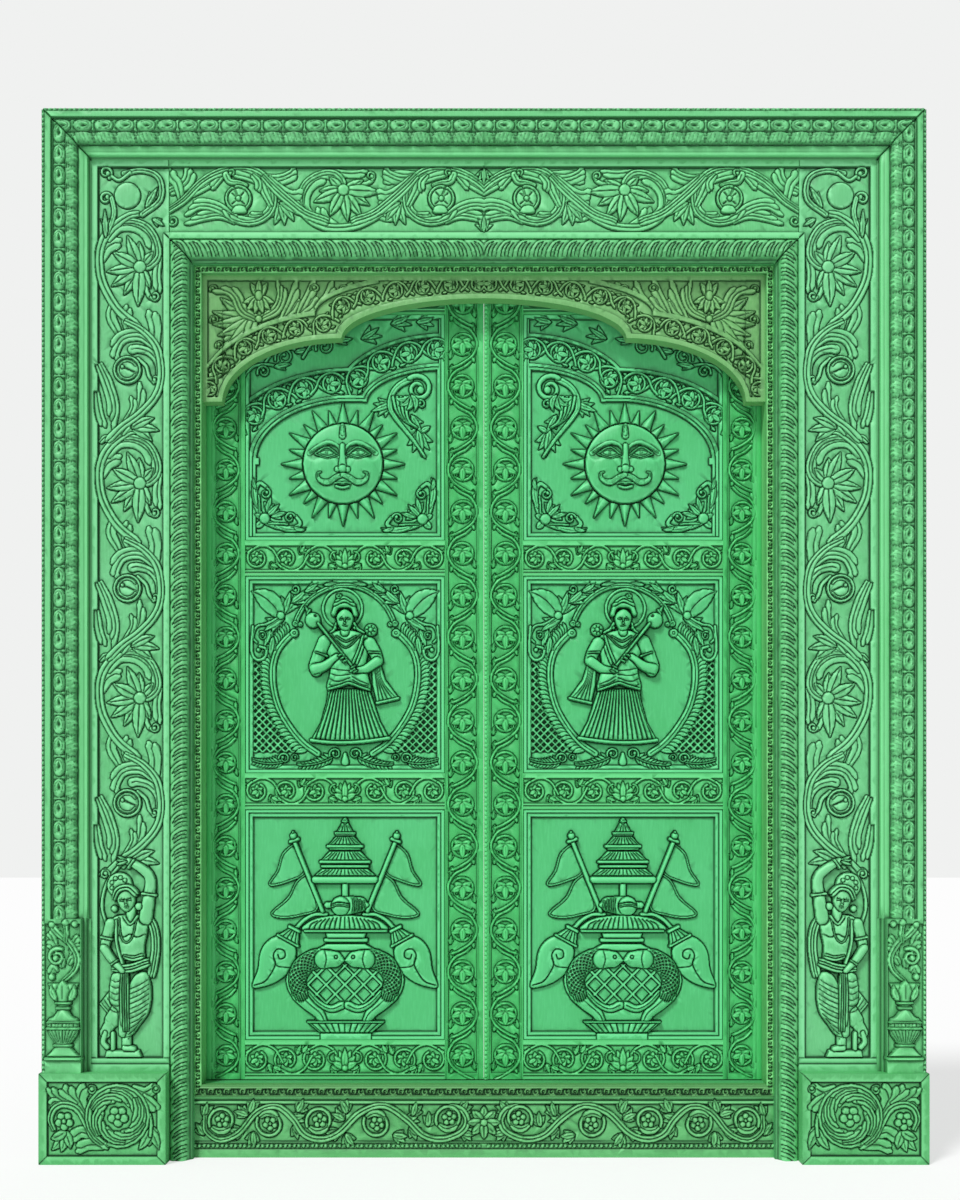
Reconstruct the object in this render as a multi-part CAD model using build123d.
"""Carved double door with its surround, in millimetres.

X runs to the right, Y away from the viewer and Z up. The origin is on the floor, in the
middle of the width and of the depth. The leaves open away from the viewer.
"""
import os
from math import cos, pi, sin

from build123d import *

# Widths, from the middle outwards
opening_half = 749
stop_width = 20
rope_width = 58
board_width = 204
outer_width = 122
plinth_overhang = 4

# Heights
sill_height = 195
opening_height = 2152
plinth_height = 237
sill_bead_height = 32

# Depths behind the faces of the plinths
outer_setback = 12
rope_setback = 46
board_setback = 48
wall_setback = 80
stop_setback = 88
sill_setback = 93
arch_setback = 108
leaf_setback = 165

# Thicknesses of the fixed pieces
jamb_width = 90
head_height = 90
sill_board_thickness = 27
arch_thickness = 42
stop_clearance = 1
tenon_length = 50
tenon_thickness = 40
joint_clearance = 0.3

# Door leaves
leaf_thickness = 50
leaf_clearance = 3
meeting_gap = 2
hinge_stile_width = 121
meeting_stile_width = 105
bottom_rail_height = 106
lower_rail_height = 97
upper_rail_height = 95
top_rail_height = 101
vase_panel_height = 623
figure_panel_height = 533
rail_tenon_thickness = 16
band_depth = 4
band_border = 15

# Panels, held by a tongue in the grooves of the stiles and rails
panel_setback = 12
panel_thickness = 24
tongue_thickness = 10
tongue_depth = 11
groove_depth = 12
moulding_width = 22
moulding_height = 9

# Pivots: each leaf turns on round pintles at the head and the foot of its hinge stile
pintle_radius = 14
pintle_length = 28
pintle_clearance = 0.08
socket_end_gap = 0.4

# Multifoil edge of the arch board
arch_foot_width = 52
arch_drop = 336
lower_foil_width = 318
lower_foil_rise = 169
upper_foil_rise = 106
arch_border = 13

# Anchor holes in the sides of the jambs
anchor_radius = 5
anchor_depth = 40
anchor_count = 3
anchor_spacing = 950

# Carving
root = 1

# Planes worked out from the sizes above
rebate_half = opening_half + stop_width
rope_outer = rebate_half + rope_width
board_outer = rope_outer + board_width
outer_half = board_outer + outer_width
opening_top = sill_height + opening_height
rebate_top = opening_top + stop_width
rope_top = rebate_top + rope_width
board_top = rope_top + board_width
overall_height = board_top + outer_width
total_depth = leaf_setback + leaf_thickness

plinth_face = -total_depth / 2
outer_face = plinth_face + outer_setback
rope_face = plinth_face + rope_setback
board_face = plinth_face + board_setback
wall_face = plinth_face + wall_setback
stop_face = plinth_face + stop_setback
sill_face = plinth_face + sill_setback
arch_face = plinth_face + arch_setback
leaf_face = plinth_face + leaf_setback
leaf_back = leaf_face + leaf_thickness
stop_back = leaf_face - stop_clearance
panel_face = leaf_face + panel_setback
panel_back = panel_face + panel_thickness
tenon_middle = (wall_face + leaf_back) / 2

leaf_outer = rebate_half - leaf_clearance
pivot_x = -leaf_outer + leaf_thickness / 2
pivot_y = leaf_face + leaf_thickness / 2
leaf_inner = meeting_gap / 2
leaf_bottom = sill_height + leaf_clearance
leaf_top = rebate_top - leaf_clearance
field_outer = leaf_outer - hinge_stile_width
field_inner = leaf_inner + meeting_stile_width
field_middle = (field_outer + field_inner) / 2
vase_bottom = leaf_bottom + bottom_rail_height
vase_top = vase_bottom + vase_panel_height
figure_bottom = vase_top + lower_rail_height
figure_top = figure_bottom + figure_panel_height
sun_bottom = figure_top + upper_rail_height
sun_top = leaf_top - top_rail_height


def block(x0, x1, y0, y1, z0, z1):
    """Box between two corners"""
    size = Box(x1 - x0, y1 - y0, z1 - z0)
    return Pos((x0 + x1) / 2, (y0 + y1) / 2, (z0 + z1) / 2) * size


def front_plane(y):
    """Plane seen from the front, whose outlines are drawn in X and Z"""
    return Plane((0, y, 0), x_dir=(1, 0, 0), z_dir=(0, -1, 0))


def outline(*points):
    return Polygon(*points, align=None)


def slab(shape, front, back):
    """Flat piece with the given outline, between two depths"""
    return extrude(front_plane(back) * shape, back - front, dir=(0, -1, 0))


def raised(shapes, face, height):
    """Carvings that stand proud of a face, each rooted in it"""
    return [slab(shape, face - height, face + root) for shape in shapes]


def spread(start, end, pitch):
    """Centres of equal steps that are as near the pitch as the length allows"""
    count = max(1, round((end - start) / pitch))
    step = (end - start) / count
    return [start + step * (i + 0.5) for i in range(count)]


def post(profile, bottom, top):
    """Upright moulding from a profile drawn in X and Y"""
    return Pos(0, 0, bottom) * extrude(outline(*profile), top - bottom, dir=(0, 0, 1))


def lintel(profile, left, right):
    """Level moulding from a profile drawn in Z and Y"""
    plane = Plane((left, 0, 0), x_dir=(0, 0, 1), z_dir=(1, 0, 0))
    flipped = [(z, -y) for z, y in profile]
    return extrude(plane * outline(*flipped), right - left, dir=(1, 0, 0))


def mirrored(part):
    return mirror(part, about=Plane.YZ)


def above_mitre(outer, inner, top):
    """Cutter for a left post: all that lies past the mitre of its top corner"""
    width = outer - inner
    reach = 2 * width
    corner = outline(
        (-outer - reach, top + reach),
        (-inner + reach, top - width - reach),
        (-inner + reach, top + reach),
    )
    return slab(corner, plinth_face - reach, leaf_back + reach)


def below_mitre(outer, inner, top):
    """Cutter for a top moulding: all that lies under the mitre of its left corner"""
    width = outer - inner
    reach = 2 * width
    corner = outline(
        (-outer - reach, top + reach),
        (-inner + reach, top - width - reach),
        (-outer - reach, top - width - reach),
    )
    return slab(corner, plinth_face - reach, leaf_back + reach)


def mitred_top(profile, outer, inner, top):
    bar = lintel(profile, -outer, outer)
    cutter = below_mitre(outer, inner, top)
    return bar - cutter - mirrored(cutter)


def flower(count, radius):
    """Flower with pointed petals"""
    points = []
    for i in range(2 * count):
        reach = radius * 0.55 if i % 2 else radius
        angle = pi * i / count
        points.append((reach * sin(angle), reach * cos(angle)))
    return outline(*points)


def roundel(radius, sides=6):
    return RegularPolygon(radius, sides)


def oval(width, height, sides=8):
    """Oval with straight sides"""
    points = []
    for i in range(sides):
        angle = 2 * pi * i / sides
        points.append((width / 2 * cos(angle), height / 2 * sin(angle)))
    return outline(*points)


# Structural frame
def left_jamb():
    """Post that carries the leaf, with its mortises and anchor holes"""
    x_out = -rebate_half - jamb_width
    jamb = block(x_out, -rebate_half, wall_face, leaf_back, 0, rebate_top + head_height)
    slack = joint_clearance
    y0 = tenon_middle - tenon_thickness / 2 - slack
    y1 = tenon_middle + tenon_thickness / 2 + slack
    x_end = -rebate_half - tenon_length - slack
    for z0, z1 in (head_tenon_span(), sill_tenon_span()):
        jamb -= block(x_end, -rebate_half + slack, y0, y1, z0 - slack, z1 + slack)
    for z in anchor_heights():
        hole = Cylinder(anchor_radius, anchor_depth, align=(Align.CENTER, Align.CENTER, Align.MIN))
        jamb -= Pos(x_out, tenon_middle, z) * Rot(0, 90, 0) * hole
    return jamb


def head_tenon_span():
    return rebate_top + head_height / 4, rebate_top + head_height * 3 / 4


def sill_tenon_span():
    return sill_height / 4, sill_height * 3 / 4


def anchor_heights():
    middle = rebate_top / 2
    return [middle + (i - (anchor_count - 1) / 2) * anchor_spacing for i in range(anchor_count)]


def cross_member(z0, z1, y0, tenon_span, pintle_z):
    """Head or sill between the jambs, with a tenon at each end and a socket for each leaf"""
    bar = block(-rebate_half, rebate_half, y0, leaf_back, z0, z1)
    ends = rebate_half + tenon_length
    half = tenon_thickness / 2
    bar += block(-ends, ends, tenon_middle - half, tenon_middle + half, *tenon_span)
    depth = 2 * (pintle_length + socket_end_gap - leaf_clearance)
    socket = Pos(pivot_x, pivot_y, pintle_z) * Cylinder(pintle_radius + pintle_clearance, depth)
    return bar - socket - mirrored(socket)


# Outer moulding, with its egg row
def outer_profile():
    """Section from the outer edge inwards, as distance from the edge and depth"""
    return (
        (0, wall_face),
        (0, outer_face + 3),
        (9, outer_face),
        (25, outer_face),
        (25, outer_face + 6),
        (29, outer_face + 6),
        (37, outer_face - 2),
        (53, outer_face - 2),
        (61, outer_face + 6),
        (78, outer_face + 8),
        (91, outer_face + 27),
        (94, outer_face + 27),
        (94, outer_face + 22),
        (104, outer_face + 22),
        (104, outer_face + 24),
        (outer_width - 7, outer_face + 24),
        (outer_width - 5, outer_face + 36),
        (outer_width, outer_face + 38),
        (outer_width, wall_face),
    )


egg_pitch = 55
egg_start = 29
egg_end = 61
egg_notch = 9


def egg_notches(start, end):
    """Wedges that part the eggs, as outline points along a moulding that runs along X"""
    count = round((end - start) / egg_pitch)
    step = (end - start) / count
    return [start + i * step for i in range(count + 1)]


def wedge(depth):
    """Section of the cut between two eggs"""
    return [(-egg_notch, outer_face - 4), (egg_notch, outer_face - 4), (0, outer_face + depth)]


def left_outer_moulding():
    profile = [(-outer_half + u, y) for u, y in outer_profile()]
    start = plinth_height
    moulding = post(profile, start, overall_height)
    x0 = -outer_half + egg_start
    x1 = -outer_half + egg_end
    cuts = [lintel([(z + a, y) for a, y in wedge(6)], x0, x1)
            for z in egg_notches(start + urn_panel_height, overall_height - outer_width)]
    moulding -= cuts
    moulding += urn_panel()
    moulding += ledge(-outer_half, -board_outer - 12, outer_face, urn_setback)
    return moulding - above_mitre(outer_half, board_outer, overall_height)


def top_outer_moulding():
    profile = [(overall_height - u, y) for u, y in outer_profile()]
    moulding = mitred_top(profile, outer_half, board_outer, overall_height)
    z0 = overall_height - egg_end
    z1 = overall_height - egg_start
    cuts = [post([(x + a, y) for a, y in wedge(6)], z0, z1)
            for x in egg_notches(-board_outer, board_outer)]
    return moulding - cuts


# Urn panel at the foot of the outer moulding
urn_panel_height = 400
urn_setback = 8


def urn_panel():
    """Tall urn under a spray of leaves, in a plain border"""
    x0 = -outer_half + 9
    x1 = -board_outer - 20
    z0 = plinth_height
    z1 = plinth_height + urn_panel_height
    face = outer_face + urn_setback
    panel = [block(x0, x1, face, wall_face, z0, z1)]
    border = Rectangle(x1 - x0, z1 - z0) - Rectangle(x1 - x0 - 14, z1 - z0 - 14)
    middle = (x0 + x1) / 2
    urn = outline((-34, 6), (34, 6), (34, 16), (16, 34), (40, 58), (40, 84), (14, 108), (10, 128),
                  (30, 150), (36, 176), (-36, 176), (-30, 150), (-10, 128), (-14, 108), (-40, 84),
                  (-40, 58), (-16, 34), (-34, 16))
    spray = flower(5, 32)
    panel += raised([Pos(middle, (z0 + z1) / 2) * border], face, 5)
    panel += raised([Pos(middle, z0 + ledge_height) * urn], face, 7)
    panel += raised([Pos(middle, z0 + h) * spray for h in (250, 310, 365)], face, 6)
    return panel


# Scroll boards beside and over the opening
flower_pitch = 562
lintel_first_motif = 110
lintel_motif_pitch = 265
flower_radius = 40
ground_depth = 9
ground_border = 16
flower_height = 8


def scroll_motifs(length):
    """Flowers and roundels in turn along a board, as distance and outline"""
    motifs = []
    for i, s in enumerate(spread(0, length, flower_pitch / 2)):
        motifs.append((s, flower(8, flower_radius) if i % 2 else roundel(flower_radius * 0.7)))
    return motifs


def left_scroll_board():
    bottom = plinth_height
    x0 = -board_outer
    x1 = -rope_outer
    board = block(x0, x1, board_face, wall_face, bottom, board_top)
    board -= block(x0 + ground_border, x1 - ground_border, plinth_face, board_face + ground_depth,
                   niche_top, board_top - ground_border)
    middle = (x0 + x1) / 2
    carving = [Pos(middle, board_top - ground_border - s) * shape
               for s, shape in scroll_motifs(board_top - ground_border - niche_top)]
    board += raised(carving, board_face + ground_depth, flower_height)
    board -= block(x0 + ground_border, x1 - ground_border, plinth_face, board_face + niche_depth,
                   bottom + ledge_height, niche_top - 12)
    board += attendant()
    return board + ledge(x0, x1, board_face)


def lintel_board():
    board = block(-rope_outer, rope_outer, board_face, wall_face, rope_top, board_top)
    z0 = rope_top + ground_border
    z1 = board_top - ground_border
    board -= block(-rope_outer, rope_outer, plinth_face, board_face + ground_depth, z0, z1)
    middle = (z0 + z1) / 2
    carving = []
    motifs = (roundel(flower_radius * 0.8), flower(8, flower_radius * 1.1), roundel(flower_radius * 0.8))
    for i, motif in enumerate(motifs):
        x = lintel_first_motif + i * lintel_motif_pitch
        carving += [Pos(side * x, middle) * motif for side in (-1, 1)]
    return board + raised(carving, board_face + ground_depth, flower_height)


# Attendant in the niche at the foot of each scroll board
niche_height = 560
niche_depth = 14
niche_top = plinth_height + niche_height


def attendant():
    """Dancer with one arm raised, standing on a small base"""
    middle = -(board_outer + rope_outer) / 2
    z0 = plinth_height + ledge_height
    body = outline((-50, 0), (50, 0), (50, 18), (26, 22), (20, 110), (44, 190), (30, 268), (22, 300),
                   (50, 350), (40, 372), (14, 384), (-14, 384), (-42, 366), (-24, 300), (-34, 240),
                   (-46, 170), (-18, 100), (-26, 22), (-50, 18))
    neck = outline((-10, 370), (10, 370), (8, 400), (-12, 400))
    head = Pos(-2, 418) * roundel(30, 8)
    arm = outline((36, 372), (82, 452), (8, 512), (-8, 500), (56, 448), (26, 384))
    lower_arm = outline((-36, 372), (-66, 300), (-12, 268), (-6, 282), (-46, 304), (-22, 360))
    place = Pos(middle, z0)
    y = board_face + niche_depth
    carving = raised([place * shape for shape in (arm, lower_arm, neck)], y, 12)
    return carving + raised([place * body], y, 16) + raised([place * head], y, 20)


# Rope moulding, parted into slanted leaves, with the cove inside it
rope_pitch = 43.5
rope_round = 46
rope_notch = 8
rope_notch_depth = 9
rope_slant = 32


def rope_profile():
    """Section from the outer edge inwards"""
    return (
        (0, wall_face),
        (0, rope_face + 13),
        (11, rope_face),
        (rope_round - 11, rope_face),
        (rope_round, rope_face + 15),
        (rope_round + 5, rope_face + 24),
        (rope_width, rope_face + 30),
        (rope_width, wall_face),
    )


def rope_cut(x, z, angle):
    """Wedge across the moulding at a slant, with its point below the rope's face"""
    section = outline((-rope_notch, -2), (rope_notch, -2), (0, rope_notch_depth))
    plane = Plane((0, 0, 0), x_dir=(0, 0, 1), z_dir=(-1, 0, 0))
    bar = extrude(plane * section, rope_round, both=True)
    return Pos(x, rope_face, z) * Rot(0, angle, 0) * bar


def left_rope_moulding():
    profile = [(-rope_outer + u, y) for u, y in rope_profile()]
    moulding = post(profile, 0, rope_top)
    middle = -rope_outer + rope_round / 2
    cuts = [rope_cut(middle, z, rope_slant) for z in spread(0, rope_top - rope_round, rope_pitch)]
    cuts = [cut & rope_zone() for cut in cuts]
    moulding -= cuts
    return moulding - above_mitre(rope_outer, rebate_half, rope_top)


def rope_zone():
    """Space that the cuts may reach on a left post, outside the cove"""
    return block(-rope_outer - 1, -rope_outer + rope_round, plinth_face, wall_face, 0, rope_top)


def top_rope_moulding():
    profile = [(rope_top - u, y) for u, y in rope_profile()]
    moulding = mitred_top(profile, rope_outer, rebate_half, rope_top)
    middle = rope_top - rope_round / 2
    zone = block(-rope_outer, rope_outer, plinth_face, wall_face, rope_top - rope_round, rope_top + 1)
    cuts = []
    for x in spread(0, rope_outer - rope_round, rope_pitch):
        cuts.append(rope_cut(x, middle, 90 - rope_slant) & zone)
        cuts.append(rope_cut(-x, middle, 90 + rope_slant) & zone)
    return moulding - cuts


# Stop beads that the leaves close against
def left_stop():
    """Bead down to the sill, mitred with the head stop and notched over the sill"""
    profile = (
        (-rebate_half, stop_back),
        (-rebate_half, stop_face + 3),
        (-rebate_half + 3, stop_face),
        (-opening_half - 3, stop_face),
        (-opening_half, stop_face + 3),
        (-opening_half, stop_back),
    )
    bead = post(profile, sill_height - sill_bead_height, rebate_top)
    bead -= above_mitre(rebate_half, opening_half, rebate_top)
    over_sill = sill_face + sill_board_thickness
    bead -= block(-rebate_half, -opening_half, over_sill, leaf_back, 0, sill_height)
    return bead - sill_corner()


def sill_corner():
    """The part of the left stop's foot that the sill bead takes, past their mitre"""
    low = sill_height - sill_bead_height
    shape = outline((-rebate_half, low), (-opening_half + 1, low), (-opening_half + 1, sill_height),
                    (-opening_half, sill_height))
    return slab(shape, plinth_face, leaf_back)


def top_stop():
    profile = (
        (rebate_top, stop_back),
        (rebate_top, stop_face + 3),
        (rebate_top - 3, stop_face),
        (opening_top + 3, stop_face),
        (opening_top, stop_face + 3),
        (opening_top, stop_back),
    )
    return mitred_top(profile, rebate_half, opening_half, rebate_top)


# Sill: carved board in front, with a bead along its top
sill_scroll_pitch = 130
sill_scroll_radius = 42
sill_band_bottom = 56
sill_band_top = 156


def sill_board():
    top = sill_height - sill_bead_height
    back = sill_face + sill_board_thickness
    board = block(-rebate_half, rebate_half, sill_face, back, 0, top)
    board -= block(-rebate_half, rebate_half, plinth_face, sill_face + 5, sill_band_bottom, sill_band_top)
    middle = (sill_band_bottom + sill_band_top) / 2
    carving = [flower(8, sill_scroll_radius)]
    carving = [Pos(0, middle) * shape for shape in carving]
    for x in spread(sill_scroll_radius, rebate_half, sill_scroll_pitch):
        carving += [Pos(side * x, middle) * roundel(sill_scroll_radius) for side in (-1, 1)]
    return board + raised(carving, sill_face + 5, 6)


def sill_bead():
    low = sill_height - sill_bead_height
    back = sill_face + sill_board_thickness
    profile = ((low, back), (low, stop_face + 3), (low + 4, stop_face), (sill_height - 4, stop_face),
               (sill_height, stop_face + 3), (sill_height, back))
    bead = lintel(profile, -rebate_half, rebate_half)
    foot = outline((-rebate_half, low), (-rebate_half, sill_height), (-opening_half, sill_height))
    cutter = slab(foot, plinth_face, leaf_back)
    return bead - cutter - mirrored(cutter)


# Arch board with its multifoil edge
def foil(centre_x, base, width, rise, steps):
    """Quarter of an ellipse from its outer end up to its crown, left of the middle"""
    points = []
    for i in range(steps + 1):
        angle = pi / 2 * i / steps
        points.append((centre_x - width * cos(angle), base + rise * sin(angle)))
    return points


def arch_edge(inset=0.0):
    """Left half of the lower edge, from the foot to the crown"""
    foot_z = opening_top - arch_drop
    cusp_x = opening_half - arch_foot_width - lower_foil_width
    cusp_z = foot_z + lower_foil_rise
    lower = foil(-cusp_x, foot_z, lower_foil_width + inset, lower_foil_rise + inset, 7)
    upper = foil(0, cusp_z + inset, cusp_x + inset, upper_foil_rise, 8)
    return lower + upper


def arch_board():
    """Board across the head of the opening, with a raised border and scroll frieze"""
    foot_z = opening_top - arch_drop
    edge = arch_edge()
    right = [(-x, z) for x, z in reversed(edge[:-1])]
    corners = [(opening_half, foot_z), (opening_half, opening_top), (-opening_half, opening_top),
               (-opening_half, foot_z)]
    board = slab(outline(*edge, *right, *corners), arch_face, arch_face + arch_thickness)
    inner = arch_edge(arch_border)
    inner_right = [(-x, z) for x, z in reversed(inner[:-1])]
    side = opening_half - arch_border
    top = opening_top - arch_border
    ground = outline(*inner, *inner_right, (side, foot_z + arch_border), (side, top), (-side, top),
                     (-side, foot_z + arch_border))
    board -= slab(ground, plinth_face, arch_face + 5)
    return board + raised(arch_scrolls(), arch_face + 5, 6)


arch_scroll_pitch = 72
arch_scroll_radius = 24


def arch_scrolls():
    """Scrolls that follow both foils, evenly spaced along them"""
    line = arch_edge(arch_border + arch_scroll_radius)
    scrolls = []
    walked = arch_scroll_pitch / 2
    for (x0, z0), (x1, z1) in zip(line, line[1:]):
        length = ((x1 - x0) ** 2 + (z1 - z0) ** 2) ** 0.5
        while walked < length:
            share = walked / length
            x = x0 + (x1 - x0) * share
            z = z0 + (z1 - z0) * share
            inside = -x < opening_half - arch_scroll_radius
            if inside and z < opening_top - arch_border - arch_scroll_radius * 0.6:
                scrolls += [Pos(side * x, z) * roundel(arch_scroll_radius, vine_corners) for side in (-1, 1)]
            walked += arch_scroll_pitch
        walked -= length
    return scrolls


# Plinths and the base mouldings on them
plinth_frame = 22
plinth_recess = 6


def left_plinth():
    """Block with a mitred frame round a carved ground"""
    x0 = -outer_half - plinth_overhang
    x1 = -rope_outer
    plinth = block(x0, x1, plinth_face, wall_face, 0, plinth_height)
    plinth -= block(x0 + plinth_frame, x1 - plinth_frame, plinth_face - 1, plinth_face + plinth_recess,
                    plinth_frame, plinth_height - plinth_frame)
    middle = plinth_height / 2
    carving = [Pos(x1 - 128, middle) * roundel(74, 10), Pos(x0 + 62, middle) * flower(6, 30)]
    return plinth + raised(carving, plinth_face + plinth_recess, 5)


ledge_height = 34
ledge_out = 6


def ledge(x0, x1, face, seat=0):
    """Base moulding of two steps under a figure or an urn, down to a seat behind the face"""
    z0 = plinth_height
    profile = ((z0, face + seat), (z0, face - ledge_out), (z0 + 18, face - ledge_out), (z0 + 20, face - 3),
               (z0 + ledge_height - 4, face - 3), (z0 + ledge_height, face), (z0 + ledge_height, face + seat))
    return lintel(profile, x0, x1)


# Door leaves
def leaf_span(z0, z1):
    """Left to right extent of the field between the stiles of the left leaf"""
    return -field_outer, -field_inner, leaf_face, leaf_back, z0, z1


def rails():
    """Name, bottom and top of each rail"""
    return (
        ("bottom_rail", leaf_bottom, vase_bottom),
        ("lower_rail", vase_top, figure_bottom),
        ("upper_rail", figure_top, sun_bottom),
        ("top_rail", sun_top, leaf_top),
    )


def panels():
    """Name, bottom, top and carving of each panel"""
    return (
        ("vase_panel", vase_bottom, vase_top, vase_group()),
        ("figure_panel", figure_bottom, figure_top, figure()),
        ("sun_panel", sun_bottom, sun_top, sun()),
    )


leaf_middle = (leaf_face + leaf_back) / 2
tongue_front = panel_face + (panel_thickness - tongue_thickness) / 2
vine_pitch = 112
vine_radius = 27
vine_corners = 5
hinge_edge_border = 34
hinge_field_border = 17
meeting_edge_border = 17
meeting_field_border = 9


def stile(x0, x1, field_side, left_border, right_border):
    """Upright of the leaf, grooved on its field side and with a sunk vine band"""
    piece = block(x0, x1, leaf_face, leaf_back, leaf_bottom, leaf_top)
    piece -= block(x0 + left_border, x1 - right_border, leaf_face, leaf_face + band_depth,
                   leaf_bottom + band_border, leaf_top - band_border)
    slack = joint_clearance
    edge = x1 if field_side > 0 else x0
    g0, g1 = sorted((edge, edge - field_side * groove_depth))
    piece -= block(g0, g1, tongue_front - slack, tongue_front + tongue_thickness + slack,
                   leaf_bottom, leaf_top)
    m0, m1 = sorted((edge, edge - field_side * (tenon_length + slack)))
    half = rail_tenon_thickness / 2 + slack
    for name, z0, z1 in rails():
        t0, t1 = rail_tenon_span(z0, z1)
        piece -= block(m0, m1, leaf_middle - half, leaf_middle + half, t0 - slack, t1 + slack)
    middle = (x0 + left_border + x1 - right_border) / 2
    spots = spread(leaf_bottom + band_border, leaf_top - band_border, vine_pitch)
    vine = [Pos(middle, z) * roundel(vine_radius, vine_corners) for z in spots]
    return piece + raised(vine, leaf_face + band_depth, band_depth)


def hinge_stile():
    """Stile with a rounded outer edge that turns in the gap, and a pintle at each end"""
    piece = stile(-leaf_outer, -field_outer, 1, hinge_edge_border, hinge_field_border)
    height = leaf_top - leaf_bottom
    middle = (leaf_top + leaf_bottom) / 2
    corner = block(-leaf_outer, pivot_x, leaf_face, leaf_back, leaf_bottom, leaf_top)
    edge = Pos(pivot_x, pivot_y, middle) * Cylinder(leaf_thickness / 2, height)
    piece -= corner - edge
    pintles = Pos(pivot_x, pivot_y, middle) * Cylinder(pintle_radius, height + 2 * pintle_length)
    return piece + pintles


def rail_tenon_span(z0, z1):
    margin = (z1 - z0) / 5
    return z0 + margin, z1 - margin


def rail(z0, z1):
    """Cross piece of the leaf, tenoned into both stiles and grooved for its panels"""
    piece = block(*leaf_span(z0, z1))
    piece -= block(-field_outer, -field_inner, leaf_face, leaf_face + band_depth,
                   z0 + band_border, z1 - band_border)
    slack = joint_clearance
    y0 = tongue_front - slack
    y1 = tongue_front + tongue_thickness + slack
    if z0 > leaf_bottom:
        piece -= block(-field_outer, -field_inner, y0, y1, z0, z0 + groove_depth)
    if z1 < leaf_top:
        piece -= block(-field_outer, -field_inner, y0, y1, z1 - groove_depth, z1)
    half = rail_tenon_thickness / 2
    piece += block(-field_outer - tenon_length, -field_inner + tenon_length,
                   leaf_middle - half, leaf_middle + half, *rail_tenon_span(z0, z1))
    middle = (z0 + z1) / 2
    reach = (field_outer - field_inner) / 2
    carving = [Pos(-field_middle, middle) * flower(6, vine_radius)]
    for x in spread(vine_radius, reach, vine_pitch * 0.9):
        carving += [Pos(-field_middle + side * x, middle) * roundel(vine_radius, vine_corners)
                    for side in (-1, 1)]
    return piece + raised(carving, leaf_face + band_depth, band_depth)


def panel(z0, z1, carving):
    """Panel with a tongue all round and a stepped moulding inside its edge"""
    x0 = -field_outer
    x1 = -field_inner
    piece = block(x0, x1, panel_face, panel_back, z0, z1)
    tongue = tongue_depth
    piece += block(x0 - tongue, x1 + tongue, tongue_front, tongue_front + tongue_thickness,
                   z0 - tongue, z1 + tongue)
    middle = Pos((x0 + x1) / 2, (z0 + z1) / 2)
    width = x1 - x0
    height = z1 - z0
    step = moulding_width
    outer_step = Rectangle(width, height) - Rectangle(width - step, height - step)
    inner_step = Rectangle(width, height) - Rectangle(width - 2 * step, height - 2 * step)
    piece += raised([middle * inner_step], panel_face, moulding_height / 2)
    piece += raised([middle * outer_step], panel_face, moulding_height)
    return piece + carving


# Sun on the top panel
sun_radius = 105
ray_length = 60
short_ray_length = 45
sun_height = 203


def sun_outline():
    """Twelve long rays with twelve short ones between them"""
    points = []
    count = 24
    for i in range(count):
        tip = sun_radius + (short_ray_length if i % 2 else ray_length)
        for turn, radius in ((0, tip), (0.5, sun_radius + 4)):
            angle = 2 * pi * (i + turn) / count
            points.append((radius * sin(angle), radius * cos(angle)))
    return outline(*points)


def sun():
    """Face disc in its rays, with brows, nose, eyes, moustache and mouth"""
    place = Pos(-field_middle, sun_bottom + sun_height)
    carving = raised([place * sun_outline()], panel_face, 6)
    carving += raised([place * RegularPolygon(sun_radius, 12)], panel_face, 9)
    face = [
        outline((-8, 44), (8, 44), (17, -22), (-17, -22)),
        Pos(0, -62) * outline((-28, 4), (28, 4), (14, -8), (-14, -8)),
    ]
    for side in (-1, 1):
        face.append(Pos(side * 40, 30) * oval(46, 22, 6))
        brow = outline((side * 6, 40), (side * 40, 60), (side * 74, 42), (side * 40, 50))
        face.append(brow)
        moustache = outline((side * 3, -36), (side * 34, -46), (side * 74, -22), (side * 36, -32))
        face.append(moustache)
    return carving + raised([place * shape for shape in face], panel_face - 9, 3)


# Standing figure on the middle panel
halo_radius = 55


def figure():
    """Draped standing figure with a staff, under a halo"""
    place = Pos(-field_middle, figure_bottom + moulding_width + 8)
    y = panel_face
    skirt = outline((-104, 30), (104, 30), (96, 60), (48, 192), (-34, 192), (-88, 60))
    torso = outline((-32, 190), (36, 190), (70, 250), (86, 318), (60, 336), (-52, 336), (-66, 318),
                    (-40, 250))
    head = Pos(2, 374) * oval(46, 60)
    crown = outline((-24, 396), (-18, 424), (0, 440), (18, 424), (24, 396))
    staff = outline((-84, 398), (28, 232), (36, 238), (-74, 404))
    gourd = Pos(-80, 382) * roundel(20)
    left_arm = outline((-60, 330), (-94, 236), (-84, 226), (-10, 268), (-14, 280), (-72, 250), (-44, 322))
    right_arm = outline((80, 326), (104, 262), (96, 250), (30, 232), (26, 246), (84, 270), (62, 318))
    scarf = outline((84, 252), (98, 256), (142, 164), (100, 152))
    carving = raised([place * Pos(0, 408) * RegularPolygon(halo_radius, 10)], y, 5)
    carving += raised([place * shape for shape in (scarf, gourd, staff)], y, 7)
    carving += raised([place * skirt], y, 9)
    carving += raised([place * torso], y, 10)
    carving += raised([place * shape for shape in (left_arm, right_arm)], y, 12)
    carving += raised([place * head, place * crown], y, 11)
    return carving


# Vase group on the bottom panel
tier_count = 4
tier_bottom = 410
tier_pitch = 43
tier_half_width = 85
tier_taper = 20


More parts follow.
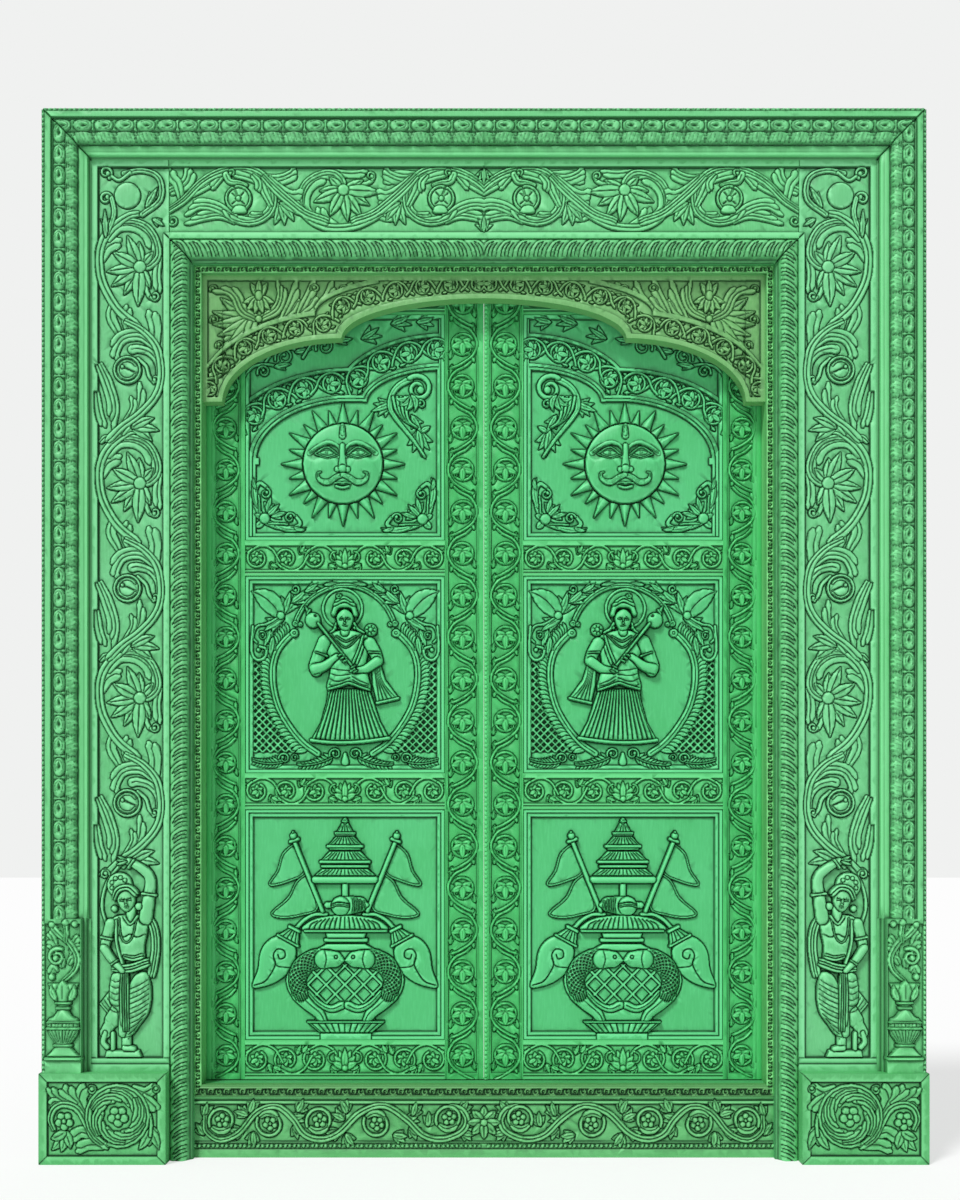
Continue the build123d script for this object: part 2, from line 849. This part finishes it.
def vase_group():
    """Tiered umbrella and two flags over a lotus dish and a round vase"""
    place = Pos(-field_middle, vase_bottom + moulding_width)
    y = panel_face
    top = tier_bottom + tier_count * tier_pitch
    pole = outline((-10, 280), (10, 280), (10, top - 24), (0, top), (-10, top - 24))
    shapes = [pole]
    for i in range(tier_count):
        height = tier_bottom + i * tier_pitch
        half = tier_half_width - i * tier_taper
        shapes.append(outline((-half, height - 12), (half, height - 12), (half * 0.8, height + 12),
                              (-half * 0.8, height + 12)))
    flag = outline((60, 318), (138, 512), (206, 400), (200, 320), (150, 380), (72, 314))
    shell = Pos(0, 345) * oval(104, 50)
    dish = outline((-108, 318), (-108, 300), (-56, 284), (56, 284), (108, 300), (108, 318))
    neck = outline((-56, 284), (-70, 236), (70, 236), (56, 284))
    foot = outline((-100, 6), (100, 6), (100, 22), (60, 44), (-60, 44), (-100, 22))
    carving = raised([place * (Pos(0, 142) * oval(316, 196, 12))], y, 8)
    mirrored_flag = outline((-60, 318), (-138, 512), (-206, 400), (-200, 320), (-150, 380), (-72, 314))
    carving += raised([place * shape for shape in (flag, mirrored_flag)], y, 4)
    carving += raised([place * shape for shape in shapes], y, 7)
    carving += raised([place * shape for shape in (shell, dish, neck, foot)], y, 9)
    return carving


# Beaded strip on the meeting edge of the right leaf
bead_strip_width = 12
bead_strip_height = 3
bead_strip_lip = 1


def bead_strip():
    """Astragal that stands a little over the meeting gap and ends just under the head stop"""
    return block(leaf_inner - bead_strip_lip, leaf_inner + bead_strip_width, leaf_face - bead_strip_height,
                 leaf_face, leaf_bottom, opening_top - leaf_clearance)


nodes = {}


def add_pair(name, part):
    nodes["left_" + name] = part
    nodes["right_" + name] = mirrored(part)


add_pair("jamb", left_jamb())
nodes["head"] = cross_member(rebate_top, rebate_top + head_height, wall_face, head_tenon_span(), rebate_top)
nodes["sill"] = cross_member(0, sill_height, sill_face + sill_board_thickness, sill_tenon_span(),
                             sill_height)
add_pair("outer_moulding", left_outer_moulding())
nodes["top_outer_moulding"] = top_outer_moulding()
add_pair("scroll_board", left_scroll_board())
nodes["lintel_board"] = lintel_board()
add_pair("rope_moulding", left_rope_moulding())
nodes["top_rope_moulding"] = top_rope_moulding()
add_pair("stop_bead", left_stop())
nodes["top_stop_bead"] = top_stop()
nodes["sill_board"] = sill_board()
nodes["sill_bead"] = sill_bead()
nodes["arch_board"] = arch_board()
add_pair("plinth", left_plinth())

add_pair("hinge_stile", hinge_stile())
add_pair("meeting_stile", stile(-field_inner, -leaf_inner, -1, meeting_field_border, meeting_edge_border))
for rail_name, low, high in rails():
    add_pair(rail_name, rail(low, high))
for panel_name, low, high, carving in panels():
    add_pair(panel_name, panel(low, high, carving))
nodes["bead_strip"] = bead_strip()
os.makedirs("parts", exist_ok=True)
for node_name, part in nodes.items():
    export_step(part, "parts/" + node_name + ".step")
